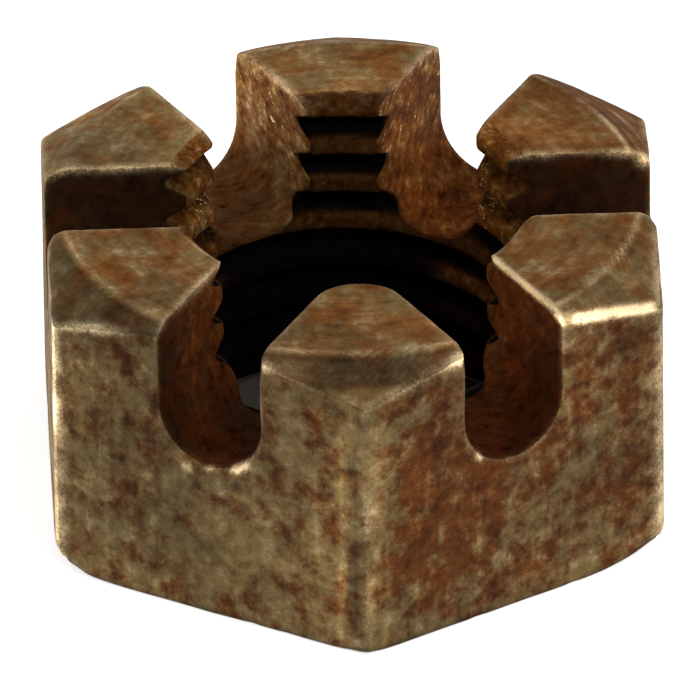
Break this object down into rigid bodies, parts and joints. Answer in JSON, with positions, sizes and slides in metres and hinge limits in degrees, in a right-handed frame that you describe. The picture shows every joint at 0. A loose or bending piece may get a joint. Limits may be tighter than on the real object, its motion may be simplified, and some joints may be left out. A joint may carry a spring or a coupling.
{
  "type": "castle nut",
  "caption": "Low hexagonal castle nut: cotter pin slots milled across the flats into a chamfered crown, threaded bore with a countersink at each end, worn and rusted steel.",
  "frame": {"origin": "centre of the bearing face, on the bore axis", "axes": "+Z along the bore axis towards the slotted end, +X square to one of the hexagon's flats and along one slot, so a corner of the hexagon points to -Y"},
  "size_m": [0.0174, 0.02, 0.0093],
  "materials": {
    "rusted_steel": "bare machined steel gone brown with thin rust, redder in patches, with bright worn edges"
  },
  "bodies": {
    "root": {"castle_nut": "rusted_steel"}
  },
  "joints": []
}
